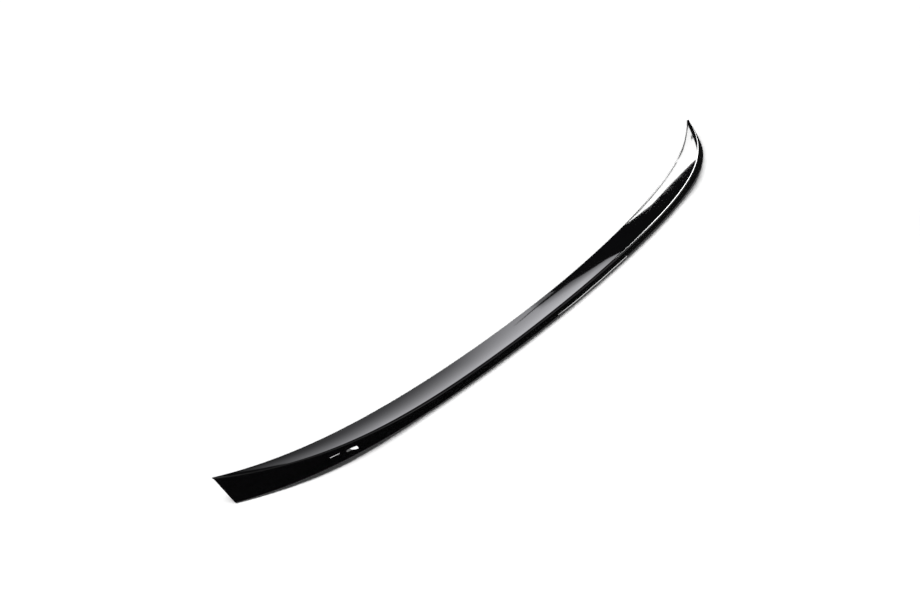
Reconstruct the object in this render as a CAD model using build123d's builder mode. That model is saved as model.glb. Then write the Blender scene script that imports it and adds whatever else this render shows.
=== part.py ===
"""Slim lip spoiler for the rear edge of a car's boot lid, moulded in one piece.

A thin top skin climbs from the front edge to a crest that overhangs the rear. The rear wall tucks
in below the crest and ends in a flat foot, which is the bonding flange. The underside is open.
Towards the tips the top face runs out and the rear wall leans back, so that it takes over the
whole height.

Millimetres. X runs along the lip, +Y points to the front of the car, and Z is up with the foot at
Z = 0. The origin is the middle of the footprint. Both halves are alike about X = 0.
"""

import os
from math import cos, radians, sin

from build123d import *

# Overall run of the lip.
LENGTH = 1120.0  # tip to tip, over the front corners
TIP_LEAN = 8.0  # degrees that each end cut leans in from the front corner to the foot

# Front edge, which bows forward and climbs towards the tips.
FRONT_BOW = 69.0  # forward travel of the long even curve, middle to tip
FRONT_HOOK = 32.0  # further forward travel of the tight curve at the tips
FRONT_LIFT = 7.0  # height over the foot at the middle
FRONT_CLIMB = 13.6  # height gained along the long even curve
FRONT_KICK = 14.6  # further height gained in the tight curve at the tips

# Top face, from the front edge back to the crest.
TOP_WIDTH = 56.3  # at the middle
TIP_WIDTH = 4.0  # at the tips
TOP_SCOOP = 1.0  # depth of the face's hollow at the middle
TIP_SCOOP = 0.05  # the same at the tips
CREST_RISE = 10.0  # crest over front edge at the middle
TIP_RISE = 0.9  # crest over front edge at the tips

# Rear wall, from the crest down to the foot.
FOOT_TUCK = 7.8  # how far the foot stands in front of the crest at the middle
TIP_RUN = 20.0  # how far the foot stands behind the crest at the tips
REAR_BELLY = 0.3  # height of the wall's bulge at the middle
TIP_BELLY = 0.9  # the same at the tips

# Moulding.
SKIN = 2.6  # thickness of the top skin, the rear wall and the foot flange
FLANGE = 6.0  # how far the foot flange reaches in front of the rear wall at the middle
TIP_FLANGE = 0.4  # the same at the tips
CREST_RADIUS = 3.0  # rounding between the top face and the rear wall at the middle
TIP_CREST_RADIUS = 1.0  # the same at the tips
INSIDE_RADIUS = 1.0  # rounding inside the crest, which keeps the skin there from getting thin
EDGE_RADIUS = 0.6  # rounding of the front edge and of the foot's rear edge

SECTIONS = 17  # cross-sections that carry the loft, an odd number so that one is at the middle

footprint = FRONT_BOW + FRONT_HOOK + TOP_WIDTH
tip_height = FRONT_LIFT + FRONT_CLIMB + FRONT_KICK
foot_half_length = LENGTH / 2 - tip_height * sin(radians(TIP_LEAN))


def blend(share, middle, tip):
    """A size that goes from its value at the middle of the lip to its value at the tips."""
    return middle + (tip - middle) * share


def section_plane(s):
    """Upright at the middle, leaning outwards with height towards the tips."""
    lean = radians(TIP_LEAN * s)
    return Plane(origin=(foot_half_length * s, 0, 0), x_dir=(0, 1, 0), z_dir=(cos(lean), 0, -sin(lean)))


def front_corner(s):
    """Front edge at station s, which runs from -1 at one tip to 1 at the other."""
    y = footprint / 2 - FRONT_BOW * (1 - s**2) - FRONT_HOOK * (1 - s**6)
    z = FRONT_LIFT + FRONT_CLIMB * s**2 + FRONT_KICK * s**6
    return Vector(y, z)


def crest_corner(s):
    """Where the top face and the rear wall would meet without the rounding."""
    width = blend(abs(s) ** 5, TOP_WIDTH, TIP_WIDTH)
    rise = CREST_RISE * (1 - s**2) ** 1.5 + TIP_RISE * s**2
    return front_corner(s) + Vector(-width, rise)


def foot_corner(s):
    """Rear edge of the foot, in front of the crest at the middle and behind it at the tips."""
    return Vector(crest_corner(s).X + blend(s**4, FOOT_TUCK, -TIP_RUN), 0)


with BuildPart() as spoiler:
    for station in range(SECTIONS):
        s = 2 * station / (SECTIONS - 1) - 1
        front = front_corner(s)
        crest = crest_corner(s)
        foot = foot_corner(s)
        scoop = blend(s**6, TOP_SCOOP, TIP_SCOOP)
        belly = blend(s**2, REAR_BELLY, TIP_BELLY)

        # The skin is cut on a slant, level through the rear wall and upright through the top.
        top = front - crest
        rear = crest - foot
        wall_across = SKIN * rear.length / rear.Y
        skin_down = SKIN * top.length / top.X

        # Inside of the shell: the foot flange, the rear wall and the underside of the top skin.
        heel = foot + Vector(wall_across + blend(s**2, FLANGE, TIP_FLANGE), 0)
        heel_top = heel + Vector(0, SKIN)
        wall_base = foot + Vector(wall_across, 0) + rear * (SKIN / rear.Y)
        cross = rear.X * top.Y - rear.Y * top.X
        wall_share = 1 - (wall_across * top.Y - skin_down * top.X) / cross
        inner = foot + Vector(wall_across, 0) + rear * wall_share
        front_under = front - Vector(0, skin_down)

        # The wall and the flange run on below the foot, where one flat cut ends them.
        wall_end = foot - rear * (SKIN / rear.Y)
        heel_end = heel - Vector(0, SKIN)

        with BuildSketch(section_plane(s)) as section:
            with BuildLine():
                SagittaArc(front, crest, scoop)
                SagittaArc(crest, wall_end, -belly)
                Line(wall_end, heel_end)
                Line(heel_end, heel_top)
                Line(heel_top, wall_base)
                Line(wall_base, inner)
                SagittaArc(inner, front_under, -scoop)
                Line(front_under, front)
            make_face()
            fillet(section.vertices().sort_by_distance(crest)[0], blend(s**4, CREST_RADIUS, TIP_CREST_RADIUS))
            fillet(section.vertices().sort_by_distance(inner)[0], INSIDE_RADIUS)
            fillet(section.vertices().sort_by_distance(front)[0], EDGE_RADIUS)
    loft()

    # One flat cut makes the bonding face. Of its two long edges, the rear one is rounded.
    split(bisect_by=Plane.XY)
    foot_face = spoiler.faces().filter_by(Plane.XY).sort_by(Axis.Z)[0]
    fillet(foot_face.edges().sort_by(SortBy.LENGTH)[-2:].sort_by(Axis.Y)[0], EDGE_RADIUS)

spoiler.part.label = "spoiler_lip"

os.makedirs("parts", exist_ok=True)
export_step(spoiler.part, "parts/spoiler_lip.step")
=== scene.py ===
"""Slim gloss-black lip spoiler for a car's boot lid, lying on a white studio floor.

The moulding is drawn again here from the rule of its sections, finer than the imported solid, because
a mirror gloss shows every facet. Metres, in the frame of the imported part: X along the lip, +Y to the
front of the car, Z up from the flat foot.
"""

from math import cos, exp, radians, sin

import bmesh
import bpy
from mathutils import Matrix, Vector


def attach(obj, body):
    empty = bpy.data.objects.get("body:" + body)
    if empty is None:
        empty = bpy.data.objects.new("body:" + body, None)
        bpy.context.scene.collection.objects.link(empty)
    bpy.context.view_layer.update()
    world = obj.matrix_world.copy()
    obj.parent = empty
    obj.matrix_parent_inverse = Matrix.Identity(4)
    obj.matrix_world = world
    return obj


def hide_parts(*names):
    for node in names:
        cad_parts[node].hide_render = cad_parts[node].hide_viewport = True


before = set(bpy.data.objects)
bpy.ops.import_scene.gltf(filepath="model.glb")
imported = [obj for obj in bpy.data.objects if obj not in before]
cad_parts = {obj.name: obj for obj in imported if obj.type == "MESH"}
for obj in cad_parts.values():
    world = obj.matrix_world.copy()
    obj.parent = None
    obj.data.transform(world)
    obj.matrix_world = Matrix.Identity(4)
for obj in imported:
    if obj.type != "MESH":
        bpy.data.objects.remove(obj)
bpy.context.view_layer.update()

MM = 0.001

# Sizes of the lip, the same as the solid's. The crest's rounding is larger by a hair, to stay inside it.
LENGTH = 1120 * MM
TIP_LEAN = radians(8)
FRONT_BOW, FRONT_HOOK = 69 * MM, 32 * MM
FRONT_LIFT, FRONT_CLIMB, FRONT_KICK = 7 * MM, 13.6 * MM, 14.6 * MM
TOP_WIDTH, TIP_WIDTH = 56.3 * MM, 4 * MM
TOP_SCOOP, TIP_SCOOP = 1 * MM, 0.05 * MM
CREST_RISE, TIP_RISE = 10 * MM, 0.9 * MM
RISE_POWER = 1.5
FOOT_TUCK, TIP_RUN = 7.8 * MM, 20 * MM
REAR_BELLY, TIP_BELLY = 0.3 * MM, 0.9 * MM
SKIN, FLANGE, TIP_FLANGE = 2.6 * MM, 6 * MM, 0.4 * MM
CREST_RADIUS, TIP_CREST_RADIUS = 3.3 * MM, 1 * MM
INSIDE_RADIUS, EDGE_RADIUS = 1 * MM, 0.6 * MM

# How finely the lip is drawn, how close its strips lie at a seam, and what turn counts as an edge.
STATIONS = 401
SEAM = 0.004 * MM
SHARP_TURN = radians(30)

# The skin of the plastic: from crest to crest of its waves and how deep they are, and its roughness.
WARP_SPAN, WARP_DEPTH = 45 * MM, 0.025 * MM
PEEL_SPAN, PEEL_DEPTH = 5 * MM, 0.003 * MM
HAZE_SPAN = 30 * MM
CLEAN_ROUGHNESS, HAZED_ROUGHNESS = 0.03, 0.055
ABS_IOR = 1.5

# The paper floor: how far it runs, how finely it is drawn near the lip, and its two waves, with where
# along the lip each lies, how broad and how deep.
PAPER_REACH = 20
PAPER_STEP, PAPER_STEPS = 10 * MM, 80
PAPER_WAVES = ((-435 * MM, 68 * MM, 6.8 * MM), (400 * MM, 48 * MM, 4.5 * MM))

# Strengths of the studio: what the paper and the room add, the lamp, the ring of light and black cloth.
PAPER_GLOW, ROOM_FILL = 0.03, 0.05
LAMP_STRENGTH, LAMP_SPREAD = 3.5, radians(38)
LAMP_SIDE, LAMP_DISTANCE = Vector((-0.25, 0.06, 1)), 3
RING_STRENGTH, BLACK_STRENGTH = 1.7, 0.006
WHITE = "#FFFFFF"

# The image's frame and the camera, in pixels, millimetres of film, metres and degrees.
IMAGE_WIDTH, FOCAL_PIXELS, FILM_WIDTH = 920, 1061.4, 36
CAMERA_PLACE = Vector((-1.02607, -0.95914, 0.73846))
CAMERA_AZIMUTH, CAMERA_ELEVATION, CAMERA_ROLL = radians(-41.802), radians(27.545), radians(-14.985)
NEAREST_SEEN, FARTHEST_SEEN = 0.01, 100


def linear(code):
    """An sRGB hex colour as linear RGBA."""
    parts = [int(code[i:i + 2], 16) / 255 for i in (1, 3, 5)]
    return [p / 12.92 if p <= 0.04045 else ((p + 0.055) / 1.055) ** 2.4 for p in parts] + [1]


def add(tree, kind, *values, named=None, **settings):
    """Adds a node with its settings, fills or links its inputs, and gives its first live output."""
    node = tree.nodes.new(kind)
    for name, value in settings.items():
        setattr(node, name, value)
    for key, value in list(enumerate(values)) + list((named or {}).items()):
        if isinstance(value, bpy.types.NodeSocket):
            tree.links.new(value, node.inputs[key])
        elif value is not None:
            node.inputs[key].default_value = value
    return next((socket for socket in node.outputs if socket.enabled), node)


def gloss_abs():
    """ABS, injection moulded against a polished tool: black right through, with a mirror skin.

    To the eye it is all reflection over almost no body colour. The skin has the faint waviness of a
    long thin moulding, which bends the edges of reflected lamps, a fine peel, and a trace of dust.
    """
    finish = bpy.data.materials.new("moulded_gloss_black_abs")
    finish.use_nodes = True
    tree = finish.node_tree
    tree.nodes.clear()
    place = add(tree, "ShaderNodeTexCoord").node.outputs["Object"]

    # Sink marks and warp, longer along the flow of the plastic.
    along = add(tree, "ShaderNodeMapping", place, named={"Scale": (0.5, 1, 1)})
    warp = add(tree, "ShaderNodeTexNoise", along, named={"Scale": 1 / WARP_SPAN, "Detail": 1})
    # Moulding peel is about 1.5 mm from crest to crest. It is drawn at 5 mm so that it shows.
    peel = add(tree, "ShaderNodeTexNoise", place, named={"Scale": 1 / PEEL_SPAN, "Detail": 2})
    bend = add(tree, "ShaderNodeBump", named={
        "Strength": 1, "Distance": WARP_DEPTH, "Height": warp})
    skin = add(tree, "ShaderNodeBump", named={
        "Strength": 1, "Distance": PEEL_DEPTH, "Height": peel, "Normal": bend})

    # Dust and wiping haze in clouds, which dull the gloss by a little.
    haze = add(tree, "ShaderNodeTexNoise", place, named={
        "Scale": 1 / HAZE_SPAN, "Detail": 6, "Roughness": 0.65})
    gloss = add(tree, "ShaderNodeMapRange", haze, 0.35, 0.7, CLEAN_ROUGHNESS, HAZED_ROUGHNESS)
    body = add(tree, "ShaderNodeMix", data_type="RGBA", named={
        0: haze, 6: linear("#050506"), 7: linear("#0B0B0C")}).node.outputs[2]

    surface = add(tree, "ShaderNodeBsdfPrincipled", named={
        "Base Color": body, "Roughness": gloss, "IOR": ABS_IOR, "Normal": skin})
    add(tree, "ShaderNodeOutputMaterial", surface)
    return finish


def lip_sizes(finish):
    """The inputs of the lip's rule: name, kind and value."""
    footprint = FRONT_BOW + FRONT_HOOK + TOP_WIDTH
    tip_height = FRONT_LIFT + FRONT_CLIMB + FRONT_KICK
    return (
        ("Stations", "Int", STATIONS),
        ("Foot half length", "Float", LENGTH / 2 - tip_height * sin(TIP_LEAN)),
        ("Tip lean", "Float", TIP_LEAN),
        ("Front middle", "Vector", (0, footprint / 2 - FRONT_BOW - FRONT_HOOK, FRONT_LIFT)),
        ("Front bow", "Vector", (0, FRONT_BOW, FRONT_CLIMB)),
        ("Front hook", "Vector", (0, FRONT_HOOK, FRONT_KICK)),
        ("Top width", "Float", TOP_WIDTH),
        ("Tip width", "Float", TIP_WIDTH),
        ("Crest rise", "Float", CREST_RISE),
        ("Tip rise", "Float", TIP_RISE),
        ("Foot tuck", "Float", FOOT_TUCK),
        ("Tip run", "Float", TIP_RUN),
        ("Scoop", "Float", TOP_SCOOP),
        ("Tip scoop", "Float", TIP_SCOOP),
        ("Belly", "Float", REAR_BELLY),
        ("Tip belly", "Float", TIP_BELLY),
        ("Skin", "Float", SKIN),
        ("Flange", "Float", FLANGE),
        ("Tip flange", "Float", TIP_FLANGE),
        ("Crest radius", "Float", CREST_RADIUS),
        ("Tip crest radius", "Float", TIP_CREST_RADIUS),
        ("Inside radius", "Float", INSIDE_RADIUS),
        ("Edge radius", "Float", EDGE_RADIUS),
        ("Finish", "Material", finish),
    )


def lip_tree(sizes):
    """The lip's rule: a closed section that changes along the stations from tip to tip.

    Each face of the section is a strip of a grid. Along a strip the station goes from -1 to 1, and
    across it the surface is a conic from a start over a pull to an end, which are points of the
    section at that station. The strips are joined and their seams merged.
    """
    tree = bpy.data.node_groups.new("lip_moulding", "GeometryNodeTree")
    tree.interface.new_socket("Moulding", in_out="OUTPUT", socket_type="NodeSocketGeometry")
    for name, kind, _ in sizes:
        tree.interface.new_socket(name, in_out="INPUT", socket_type="NodeSocket" + kind)
    size = add(tree, "NodeGroupInput").node.outputs
    number, vector = "ShaderNodeMath", "ShaderNodeVectorMath"
    middle_plane = (1, 0, 0)

    # Station along the lip and share across the strip, from the flat grid.
    flat = add(tree, "ShaderNodeSeparateXYZ", add(tree, "GeometryNodeInputPosition")).node.outputs
    station = flat["X"]
    share = add(tree, number, flat["Y"], 0.5, operation="ADD")
    station_2 = add(tree, number, station, station, operation="MULTIPLY")
    station_4 = add(tree, number, station_2, station_2, operation="MULTIPLY")
    from_middle = add(tree, number, station, operation="ABSOLUTE")
    station_5 = add(tree, number, station_4, from_middle, operation="MULTIPLY")
    station_6 = add(tree, number, station_4, station_2, operation="MULTIPLY")

    # Corners of the section.
    front = add(tree, vector, station_2, size["Front bow"], size["Front middle"], operation="MULTIPLY_ADD")
    front = add(tree, vector, station_6, size["Front hook"], front, operation="MULTIPLY_ADD")
    width = add(tree, "ShaderNodeMapRange", station_5, 0, 1, size["Top width"], size["Tip width"])
    rise = add(tree, number, 1, station_2, operation="SUBTRACT")
    rise = add(tree, number, rise, RISE_POWER, operation="POWER")
    rise = add(tree, number, rise, size["Crest rise"], operation="MULTIPLY")
    rise = add(tree, number, station_2, size["Tip rise"], rise, operation="MULTIPLY_ADD")
    backward = add(tree, "ShaderNodeCombineXYZ", 0, width, 0)
    upward = add(tree, "ShaderNodeCombineXYZ", 0, 0, rise)
    crest = add(tree, vector, front, backward, operation="SUBTRACT")
    crest = add(tree, vector, crest, upward, operation="ADD")
    run = add(tree, number, size["Tip run"], -1, operation="MULTIPLY")
    tuck = add(tree, "ShaderNodeMapRange", station_4, 0, 1, size["Foot tuck"], run)
    tuck = add(tree, "ShaderNodeCombineXYZ", 0, tuck, 0)
    foot = add(tree, vector, crest, (0, 1, 0), tuck, operation="MULTIPLY_ADD")

    # Directions of the top face and the rear wall, and their outward normals.
    top_run = add(tree, vector, add(tree, vector, front, crest, operation="SUBTRACT"), operation="NORMALIZE")
    wall_run = add(tree, vector, add(tree, vector, crest, foot, operation="SUBTRACT"), operation="NORMALIZE")
    top_out = add(tree, vector, middle_plane, top_run, operation="CROSS_PRODUCT")
    wall_out = add(tree, vector, middle_plane, wall_run, operation="CROSS_PRODUCT")

    # The skin is cut upright at the front edge and level at the foot, so it is wider there.
    top_slope = add(tree, vector, top_run, (0, 1, 0), operation="DOT_PRODUCT")
    skin_down = add(tree, number, size["Skin"], top_slope, operation="DIVIDE")
    wall_slope = add(tree, vector, wall_run, (0, 0, 1), operation="DOT_PRODUCT")
    wall_across = add(tree, number, size["Skin"], wall_slope, operation="DIVIDE")
    flange = add(tree, "ShaderNodeMapRange", station_2, 0, 1, size["Flange"], size["Tip flange"])
    flange = add(tree, number, wall_across, flange, operation="ADD")

    # Corners of the inside.
    skin_up = add(tree, "ShaderNodeCombineXYZ", 0, 0, size["Skin"])
    heel = add(tree, vector, foot, add(tree, "ShaderNodeCombineXYZ", 0, flange, 0), operation="ADD")
    heel_top = add(tree, vector, heel, skin_up, operation="ADD")
    wall_foot = add(tree, vector, foot, add(tree, "ShaderNodeCombineXYZ", 0, wall_across, 0), operation="ADD")
    wall_base = add(tree, vector, wall_run, wall_across, wall_foot, operation="MULTIPLY_ADD")
    facing = add(tree, vector, top_out, wall_out, operation="DOT_PRODUCT")
    mitre = add(tree, number, size["Skin"], add(tree, number, facing, 1, operation="ADD"), operation="DIVIDE")
    mitre = add(tree, vector, add(tree, vector, top_out, wall_out, operation="ADD"), mitre, operation="MULTIPLY")
    inner = add(tree, vector, crest, mitre, operation="SUBTRACT")
    skin_down = add(tree, "ShaderNodeCombineXYZ", 0, 0, skin_down)
    front_under = add(tree, vector, front, skin_down, operation="SUBTRACT")

    # Pulls that hollow the top face and its underside, and bulge the rear wall.
    scoop = add(tree, "ShaderNodeMapRange", station_6, 0, 1, size["Scoop"], size["Tip scoop"])
    belly = add(tree, "ShaderNodeMapRange", station_2, 0, 1, size["Belly"], size["Tip belly"])
    dip = add(tree, vector, top_out, add(tree, number, scoop, -2, operation="MULTIPLY"), operation="MULTIPLY")
    bulge = add(tree, vector, wall_out, add(tree, number, belly, 2, operation="MULTIPLY"), operation="MULTIPLY")
    halves = {}
    for name, start, end, shift in (
        ("top", front, crest, dip), ("under", inner, front_under, dip), ("wall", crest, foot, bulge),
        ("sole", foot, heel, None), ("heel", heel, heel_top, None), ("flange", heel_top, wall_base, None),
        ("inside", wall_base, inner, None), ("lip", front_under, front, None),
    ):
        both = add(tree, vector, start, end, operation="ADD")
        halves[name] = add(tree, vector, both, (0.5, 0.5, 0.5), shift, operation="MULTIPLY_ADD")

    # Roundings: where each starts and ends, and the weight that makes its conic a circle.
    crest_radius = add(tree, "ShaderNodeMapRange", station_4, 0, 1, size["Crest radius"], size["Tip crest radius"])
    rounded = {}
    for name, corner, before, after, radius in (
        ("crest", crest, "top", "wall", crest_radius),
        ("foot", foot, "wall", "sole", size["Edge radius"]),
        ("inner", inner, "inside", "under", size["Inside radius"]),
        ("front", front, "lip", "top", size["Edge radius"]),
    ):
        towards = [
            add(tree, vector, add(tree, vector, halves[pull], corner, operation="SUBTRACT"), operation="NORMALIZE")
            for pull in (before, after)
        ]
        turn = add(tree, vector, *towards, operation="DOT_PRODUCT")
        over = add(tree, number, 1, turn, operation="ADD")
        under = add(tree, number, 1, turn, operation="SUBTRACT")
        reach = add(tree, number, add(tree, number, over, under, operation="DIVIDE"), operation="SQRT")
        reach = add(tree, number, reach, radius, operation="MULTIPLY")
        weight = add(tree, number, add(tree, number, under, 0.5, operation="MULTIPLY"), operation="SQRT")
        start, end = (add(tree, vector, way, reach, corner, operation="MULTIPLY_ADD") for way in towards)
        rounded[name] = (start, corner, end, weight)

    # Strips round the section, in order: start, pull, end, weight of the pull, and rows.
    left = add(tree, number, 1, share, operation="SUBTRACT")
    early = add(tree, number, left, left, operation="MULTIPLY")
    late = add(tree, number, share, share, operation="MULTIPLY")
    between = add(tree, number, add(tree, number, share, left, operation="MULTIPLY"), 2, operation="MULTIPLY")
    strips = []
    for start, pull, end, weight, rows in (
        (rounded["front"][2], halves["top"], rounded["crest"][0], 1, 33),
        (*rounded["crest"], 13),
        (rounded["crest"][2], halves["wall"], rounded["foot"][0], 1, 21),
        (*rounded["foot"], 7),
        (rounded["foot"][2], halves["sole"], heel, 1, 4),
        (heel, halves["heel"], heel_top, 1, 3),
        (heel_top, halves["flange"], wall_base, 1, 4),
        (wall_base, halves["inside"], rounded["inner"][0], 1, 7),
        (*rounded["inner"], 5),
        (rounded["inner"][2], halves["under"], front_under, 1, 21),
        (front_under, halves["lip"], rounded["front"][0], 1, 3),
        (*rounded["front"], 7),
    ):
        pulled = add(tree, number, between, weight, operation="MULTIPLY")
        total = add(tree, number, add(tree, number, early, late, operation="ADD"), pulled, operation="ADD")
        point = add(tree, vector, start, early, operation="MULTIPLY")
        point = add(tree, vector, pull, pulled, point, operation="MULTIPLY_ADD")
        point = add(tree, vector, end, late, point, operation="MULTIPLY_ADD")
        point = add(tree, vector, point, total, operation="DIVIDE")
        point = add(tree, vector, point, add(tree, "ShaderNodeCombineXYZ", station, 0, 0), operation="ADD")
        grid = add(tree, "GeometryNodeMeshGrid", 2, 1, size["Stations"], rows)
        strips.append(add(tree, "GeometryNodeSetPosition", grid, named={"Position": point}))
    whole = tree.nodes.new("GeometryNodeJoinGeometry")
    for strip in reversed(strips):
        tree.links.new(strip, whole.inputs[0])
    shell = add(tree, "GeometryNodeMergeByDistance", whole.outputs[0], named={"Distance": SEAM})

    # The sections stand upright at the middle and lean outwards towards the tips.
    lean = add(tree, number, station, size["Tip lean"], operation="MULTIPLY")
    outward = add(tree, number, flat["Z"], add(tree, number, lean, operation="SINE"), operation="MULTIPLY")
    along = add(tree, number, station, size["Foot half length"], outward, operation="MULTIPLY_ADD")
    height = add(tree, number, flat["Z"], add(tree, number, lean, operation="COSINE"), operation="MULTIPLY")
    leaning = add(tree, "ShaderNodeCombineXYZ", along, flat["Y"], height)
    shell = add(tree, "GeometryNodeSetPosition", shell, named={"Position": leaning})
    shell = add(tree, "GeometryNodeRealizeInstances", shell)
    shell = add(tree, "GeometryNodeSetMaterial", shell, named={"Material": size["Finish"]})
    add(tree, "NodeGroupOutput", shell)
    return tree


def mould_lip(finish):
    """Runs the rule with the lip's sizes, and closes the two cut ends."""
    sizes = lip_sizes(finish)
    tree = lip_tree(sizes)
    values = {name: value for name, _, value in sizes}
    rule = bpy.data.objects.new("lip_rule", bpy.data.meshes.new("lip_rule"))
    bpy.context.collection.objects.link(rule)
    modifier = rule.modifiers.new("lip_moulding", "NODES")
    modifier.node_group = tree
    for socket in tree.interface.items_tree:
        if socket.in_out == "INPUT":
            modifier[socket.identifier] = values[socket.name]
    evaluated = rule.evaluated_get(bpy.context.evaluated_depsgraph_get())
    mesh = bpy.data.meshes.new_from_object(evaluated)
    mesh.name = "lip_moulding"
    rule.modifiers.remove(modifier)
    bpy.data.objects.remove(rule)

    shell = bmesh.new()
    shell.from_mesh(mesh)
    rims = [edge for edge in shell.edges if edge.is_boundary]
    caps = bmesh.ops.holes_fill(shell, edges=rims)["faces"]
    bmesh.ops.triangulate(shell, faces=caps)
    bmesh.ops.recalc_face_normals(shell, faces=shell.faces)
    shell.to_mesh(mesh)
    shell.free()
    mesh.shade_smooth()
    mesh.set_sharp_from_angle(angle=SHARP_TURN)
    lip = bpy.data.objects.new("lip_moulding", mesh)
    bpy.context.collection.objects.link(lip)
    return lip


def seen(tree):
    """1 for the rays that show the background: the camera's, and those through gloss and glass."""
    rays = add(tree, "ShaderNodeLightPath").node.outputs
    mirrored = add(tree, "ShaderNodeMath", rays["Is Glossy Ray"], rays["Is Transmission Ray"],
                   operation="MAXIMUM")
    return add(tree, "ShaderNodeMath", rays["Is Camera Ray"], mirrored, operation="MAXIMUM")


def sheet(name, corners, finish, faces=None):
    """A thin sheet of one finish, as a single face where none are given."""
    mesh = bpy.data.meshes.new(name)
    mesh.from_pydata(corners, [], faces or [tuple(range(len(corners)))])
    mesh.materials.append(finish)
    sheet_object = bpy.data.objects.new(name, mesh)
    bpy.context.collection.objects.link(sheet_object)
    return sheet_object


def studio_floor():
    """A sheet of matt white paper that runs out to the horizon and keeps the lip's shadow.

    Uncoated, so to the eye it is an even white with no sheen. It lies in two shallow waves across the
    lip, so a soft dark gap shows under the foot near each tip.
    """
    paper = bpy.data.materials.new("matt_white_paper")
    paper.use_nodes = True
    tree = paper.node_tree
    tree.nodes.clear()
    matt = add(tree, "ShaderNodeBsdfDiffuse", linear("#F3F3F3"))
    lift = add(tree, "ShaderNodeMapRange", seen(tree), 0, 1, 0, PAPER_GLOW)
    lift = add(tree, "ShaderNodeEmission", linear(WHITE), lift)
    add(tree, "ShaderNodeOutputMaterial", add(tree, "ShaderNodeAddShader", matt, lift))

    near = [i * PAPER_STEP for i in range(-PAPER_STEPS, PAPER_STEPS + 1)]
    places = [-PAPER_REACH] + near + [PAPER_REACH]
    sag = [
        sum(depth * exp(-((x - place) / spread) ** 2 / 2) for place, spread, depth in PAPER_WAVES)
        for x in places
    ]
    corners = [(x, y, -depth) for y in (-PAPER_REACH, PAPER_REACH) for x, depth in zip(places, sag)]
    row = len(places)
    faces = [(i, i + 1, row + i + 1, row + i) for i in range(row - 1)]
    floor = sheet("studio_floor", corners, paper, faces)
    floor.data.shade_smooth()


def studio_room():
    """White to the camera, to gloss and to glass, and a faint fill light to everything else."""
    world = bpy.data.worlds.new("studio_room")
    world.use_nodes = True
    bpy.context.scene.world = world
    tree = world.node_tree
    tree.nodes.clear()
    strength = add(tree, "ShaderNodeMapRange", seen(tree), 0, 1, ROOM_FILL, 1)
    add(tree, "ShaderNodeOutputWorld", add(tree, "ShaderNodeBackground", linear(WHITE), strength))


def glow(name, colour, strength):
    """Cloth or card under its own lamp, or kept dark: to the eye an even tone with no texture.

    The strength is a number, or a function that grades it and builds that in the material's tree.
    """
    finish = bpy.data.materials.new(name)
    finish.use_nodes = True
    tree = finish.node_tree
    tree.nodes.clear()
    strength = strength(tree) if callable(strength) else strength
    add(tree, "ShaderNodeOutputMaterial", add(tree, "ShaderNodeEmission", linear(colour), strength))
    return finish


def for_gloss_only(card):
    """A card that the gloss mirrors, and that neither lights nor shades anything else."""
    for rays in ("camera", "diffuse", "transmission", "volume_scatter", "shadow"):
        setattr(card, "visible_" + rays, False)


def reflector(name, azimuth, elevation, distance, outline, finish):
    """A flat card that faces the lip, with its outline in metres across and up it.

    The azimuth is in degrees from the front of the car towards +X.
    """
    az, el = radians(azimuth), radians(elevation)
    away = Vector((sin(az) * cos(el), cos(az) * cos(el), sin(el)))
    across = Vector((cos(az), -sin(az), 0))
    turn = Matrix((across, across.cross(away), -away)).transposed()
    card = sheet(name, [(a, b, 0) for a, b in outline], finish)
    card.matrix_world = Matrix.Translation(away * distance) @ turn.to_4x4()
    for_gloss_only(card)


def glowing_floor_scraps(name, outlines, finish):
    """Glowing scraps of card that lie just above the floor, one face for each outline, seen only in the gloss:
    they paint glints into the rear wall.
    """
    lay = 0.5 * MM
    corners, faces = [], []
    for outline in outlines:
        faces.append(range(len(corners), len(corners) + len(outline)))
        corners += [(x, y, lay) for x, y in outline]
    for_gloss_only(sheet(name, corners, finish, faces))


def screen_grade(tree):
    """The light on the screen, by place across and up it: bright low down, dimmer above and to the sides."""
    place = add(tree, "ShaderNodeTexCoord").node.outputs["Object"]
    across, up, _ = add(tree, "ShaderNodeSeparateXYZ", place).node.outputs
    bright, middling, dim = 2.7, 1.5, 0.48

    # From bright at the bottom to dim at the top, which is less dim near the middle.
    rising = add(tree, "ShaderNodeMapRange", across, -0.14, 0.04, dim, middling)
    falling = add(tree, "ShaderNodeMapRange", across, 0.12, 0.2, middling, dim)
    top = add(tree, "ShaderNodeMath", rising, falling, operation="MINIMUM")
    slant = add(tree, "ShaderNodeMath", across, 0.2, up, operation="MULTIPLY_ADD")
    fade = add(tree, "ShaderNodeMapRange", slant, 0.3, 1.0, bright, top, interpolation_type="SMOOTHSTEP")
    left = add(tree, "ShaderNodeMapRange", across, -0.64, -0.42, 0.03, 1)
    fade = add(tree, "ShaderNodeMath", fade, left, operation="MULTIPLY")

    # On the right it falls off softly towards the slanting edge.
    right = add(tree, "ShaderNodeMapRange", across, 0.2, 0.36, bright, 1.3)
    steep = add(tree, "ShaderNodeMath", across, 0.9, up, operation="MULTIPLY_ADD")
    edge = add(tree, "ShaderNodeMapRange", steep, 0.62, 0.8, 2.6, 0.8)
    inside = add(tree, "ShaderNodeMapRange", across, 0.1, 0.17, bright, 0)
    edge = add(tree, "ShaderNodeMath", edge, inside, operation="MAXIMUM")
    right = add(tree, "ShaderNodeMath", right, edge, operation="MINIMUM")
    return add(tree, "ShaderNodeMath", fade, right, operation="MINIMUM")


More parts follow.
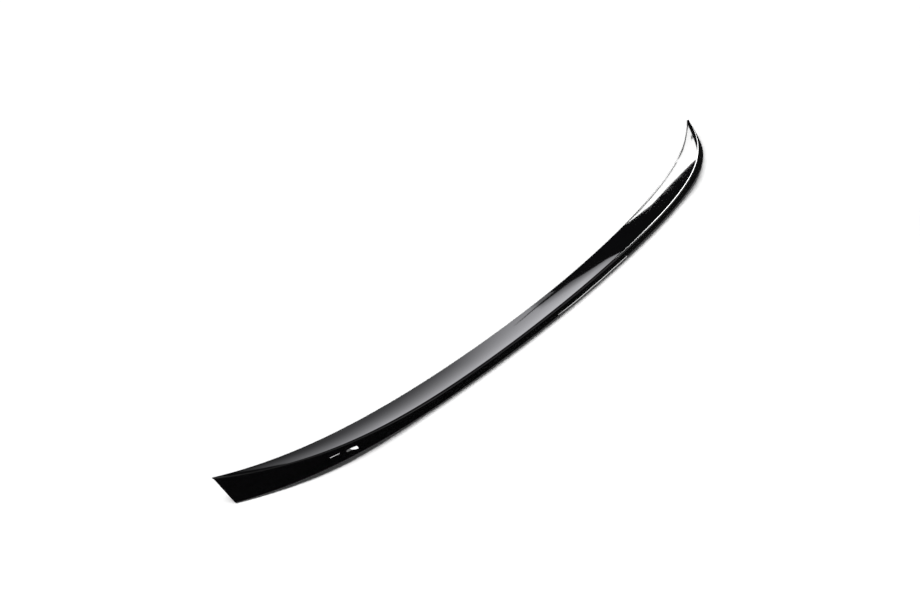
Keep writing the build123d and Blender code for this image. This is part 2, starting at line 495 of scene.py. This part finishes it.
def surround_grade(tree):
    """The light all round, as the gloss sees it: a floor painted dark up to the lip and paler ahead of it, over
    the white paper, and a ring of light.
    """
    place = add(tree, "ShaderNodeTexCoord").node.outputs["Object"]
    _, forward, height = add(tree, "ShaderNodeSeparateXYZ", place).node.outputs
    # Painted dark reflection of the floor: the gloss sees it dark up to the lip, though the paper beneath is
    # white.
    paper = add(tree, "ShaderNodeMapRange", forward, 0.15, 0.4, 0.012, 0.4, interpolation_type="SMOOTHSTEP")

    # The ring, by the sine of the angle above the floor.
    ray = add(tree, "ShaderNodeVectorMath", place, operation="NORMALIZE")
    climb = add(tree, "ShaderNodeSeparateXYZ", ray).node.outputs["Z"]
    below = add(tree, "ShaderNodeMapRange", climb, 0.17, 0.32, BLACK_STRENGTH, RING_STRENGTH,
                interpolation_type="SMOOTHSTEP")
    above = add(tree, "ShaderNodeMapRange", climb, 0.2, 0.82, RING_STRENGTH, 0.2,
                interpolation_type="SMOOTHSTEP")
    ring = add(tree, "ShaderNodeMath", below, above, operation="MINIMUM")

    # A black flag ahead of the lip and two grey ones behind it: azimuth, the cosines between which the
    # light falls off, and what is left of it.
    level = add(tree, "ShaderNodeVectorMath", place, (1, 1, 0), operation="MULTIPLY")
    level = add(tree, "ShaderNodeVectorMath", level, operation="NORMALIZE")
    for azimuth, start, end, left_over in (
        (50, 0.64, 0.87, BLACK_STRENGTH), (137, 0.8, 0.965, 0.45), (-145, 0.6, 0.95, 0.5),
    ):
        away = (sin(radians(azimuth)), cos(radians(azimuth)), 0)
        facing = add(tree, "ShaderNodeVectorMath", level, away, operation="DOT_PRODUCT")
        flag = add(tree, "ShaderNodeMapRange", facing, start, end, RING_STRENGTH, left_over,
                   interpolation_type="SMOOTHSTEP")
        ring = add(tree, "ShaderNodeMath", ring, flag, operation="MINIMUM")
    return add(tree, "ShaderNodeMapRange", height, 0.001, 0.002, paper, ring)


def studio_cards():
    """What the gloss mirrors: cards ahead of the lip, glowing scraps on the floor behind it that paint glints and
    a light line into the rear wall, and a surround.
    """
    # The screen in the top face. Its slanting right edge draws the black wedge, and the slit there the
    # wedge's thin start.
    screen = (
        (-0.58, 0.02), (0.38, 0.02), (0.375, 0.36), (0.345, 0.48), (0.28, 0.56), (0.245, 0.61),
        (0.12, 0.652), (0.04, 0.662), (0.04, 0.668), (0.12, 0.672), (0.205, 0.672), (0.19, 0.72),
        (0.17, 1.3), (-0.66, 1.3), (-0.66, 0.9), (-0.645, 0.62), (-0.605, 0.42))
    reflector("white_screen", azimuth=38, elevation=0, distance=2, outline=screen,
              finish=glow("lit_screen_cloth", "#FAFAFF", screen_grade))

    # The white of the far end.
    far_side = {"azimuth": 52, "elevation": 26}
    softbox = (
        (0.048, -0.181), (0.127, -0.21), (0.2, -0.185), (0.3, -0.18), (0.262, -0.09), (0.276, -0.045),
        (0.282, 0), (0.275, 0.03), (0.26, 0.05), (0.23, 0.062), (0.17, 0.066), (0.165, -0.1),
        (0.169, -0.145), (0.104, -0.173))
    reflector("far_softbox", **far_side, distance=1.8, outline=softbox,
              finish=glow("lit_softbox_cloth", WHITE, 9))
    # A black bar before it, which draws the thin dark line along the front edge.
    bar = (
        (0.15, -0.1172), (0.177, -0.1166), (0.194, -0.1155), (0.21, -0.1142), (0.224, -0.1125),
        (0.237, -0.1105), (0.253, -0.1072), (0.253, -0.1024), (0.238, -0.1048), (0.224, -0.1064),
        (0.21, -0.1076), (0.194, -0.1086), (0.177, -0.1094), (0.15, -0.1102))
    reflector("black_bar", **far_side, distance=0.9, outline=bar,
              finish=glow("black_bar_cloth", WHITE, BLACK_STRENGTH))
    # The bright line along the far half of the crest.
    strip = ((0.4, -0.12), (0.8, -0.12), (0.8, 0.4), (0.4, 0.4))
    reflector("far_strip", **far_side, distance=1.8, outline=strip,
              finish=glow("lit_strip_cloth", WHITE, 28))

    # The two glints in the rear wall: painted glints, from glowing cards that only the gloss sees.
    thin = [(-0.4606, -0.0436), (-0.459, -0.041), (-0.444, -0.0418), (-0.4447, -0.0436)]
    broad = [
        (-0.4285, -0.0431), (-0.4247, -0.0363), (-0.42, -0.033),
        (-0.4147, -0.0322), (-0.4174, -0.0412), (-0.4216, -0.0424)]
    glowing_floor_scraps("glint_cards", (thin, broad), glow("lit_card", WHITE, 24))
    # The light line along the wall's foot, and the dimmer tail of the broad glint: both painted reflections from a
    # dimmer glowing card.
    foot_line = [
        (-0.0541, -0.072), (-0.0262, -0.0719), (0.0295, -0.0718), (0.0852, -0.0703), (0.1265, -0.0681),
        (0.1255, -0.0676), (0.0838, -0.0697), (0.0282, -0.0711), (-0.0273, -0.0712), (-0.055, -0.0715)]
    tail = [
        (-0.4331, -0.0372), (-0.431, -0.0346), (-0.4287, -0.0345),
        (-0.4247, -0.0363), (-0.4285, -0.0431), (-0.432, -0.043)]
    glowing_floor_scraps("foot_card", (foot_line, tail), glow("dim_lit_card", WHITE, 3.5))

    # A closed box all round, with its floor a hair above the paper.
    low, high, wide = 0.0002, 10, 12
    corners = [
        (x * wide, y * wide, z)
        for z in (low, high) for x, y in ((-1, -1), (1, -1), (1, 1), (-1, 1))
    ]
    faces = [(0, 1, 2, 3), (7, 6, 5, 4), (0, 4, 5, 1), (1, 5, 6, 2), (2, 6, 7, 3), (3, 7, 4, 0)]
    for_gloss_only(sheet("studio_surround", corners, glow("surround_cloth", WHITE, surround_grade), faces))


def studio_lamp():
    """One broad soft lamp overhead, which draws the shadow under the crest."""
    data = bpy.data.lights.new("overhead_silk", "SUN")
    data.energy, data.angle = LAMP_STRENGTH, LAMP_SPREAD
    silk = bpy.data.objects.new("overhead_silk", data)
    bpy.context.collection.objects.link(silk)
    away = LAMP_SIDE.normalized()
    turn = (-away).to_track_quat("-Z", "Y").to_matrix()
    silk.matrix_world = Matrix.Translation(away * LAMP_DISTANCE) @ turn.to_4x4()


def studio_camera():
    """The camera at the photograph's viewing angle."""
    data = bpy.data.cameras.new("studio_camera")
    data.sensor_fit = "HORIZONTAL"
    data.sensor_width = FILM_WIDTH
    data.lens = FILM_WIDTH * FOCAL_PIXELS / IMAGE_WIDTH
    data.clip_start, data.clip_end = NEAREST_SEEN, FARTHEST_SEEN
    az, el, roll = CAMERA_AZIMUTH, CAMERA_ELEVATION, CAMERA_ROLL
    right = Vector((cos(az), sin(az), 0))
    back = Vector((sin(az) * cos(el), -cos(az) * cos(el), sin(el)))
    up = back.cross(right)
    rolled_right = right * cos(roll) + up * sin(roll)
    rolled_up = up * cos(roll) - right * sin(roll)
    turn = Matrix((rolled_right, rolled_up, back)).transposed()
    camera = bpy.data.objects.new("studio_camera", data)
    bpy.context.collection.objects.link(camera)
    camera.matrix_world = Matrix.Translation(CAMERA_PLACE) @ turn.to_4x4()
    bpy.context.scene.camera = camera


lip = mould_lip(gloss_abs())
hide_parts("spoiler_lip")
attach(lip, "root")

studio_floor()
studio_room()
studio_cards()
studio_lamp()
studio_camera()
bpy.context.scene.view_settings.view_transform = "Standard"
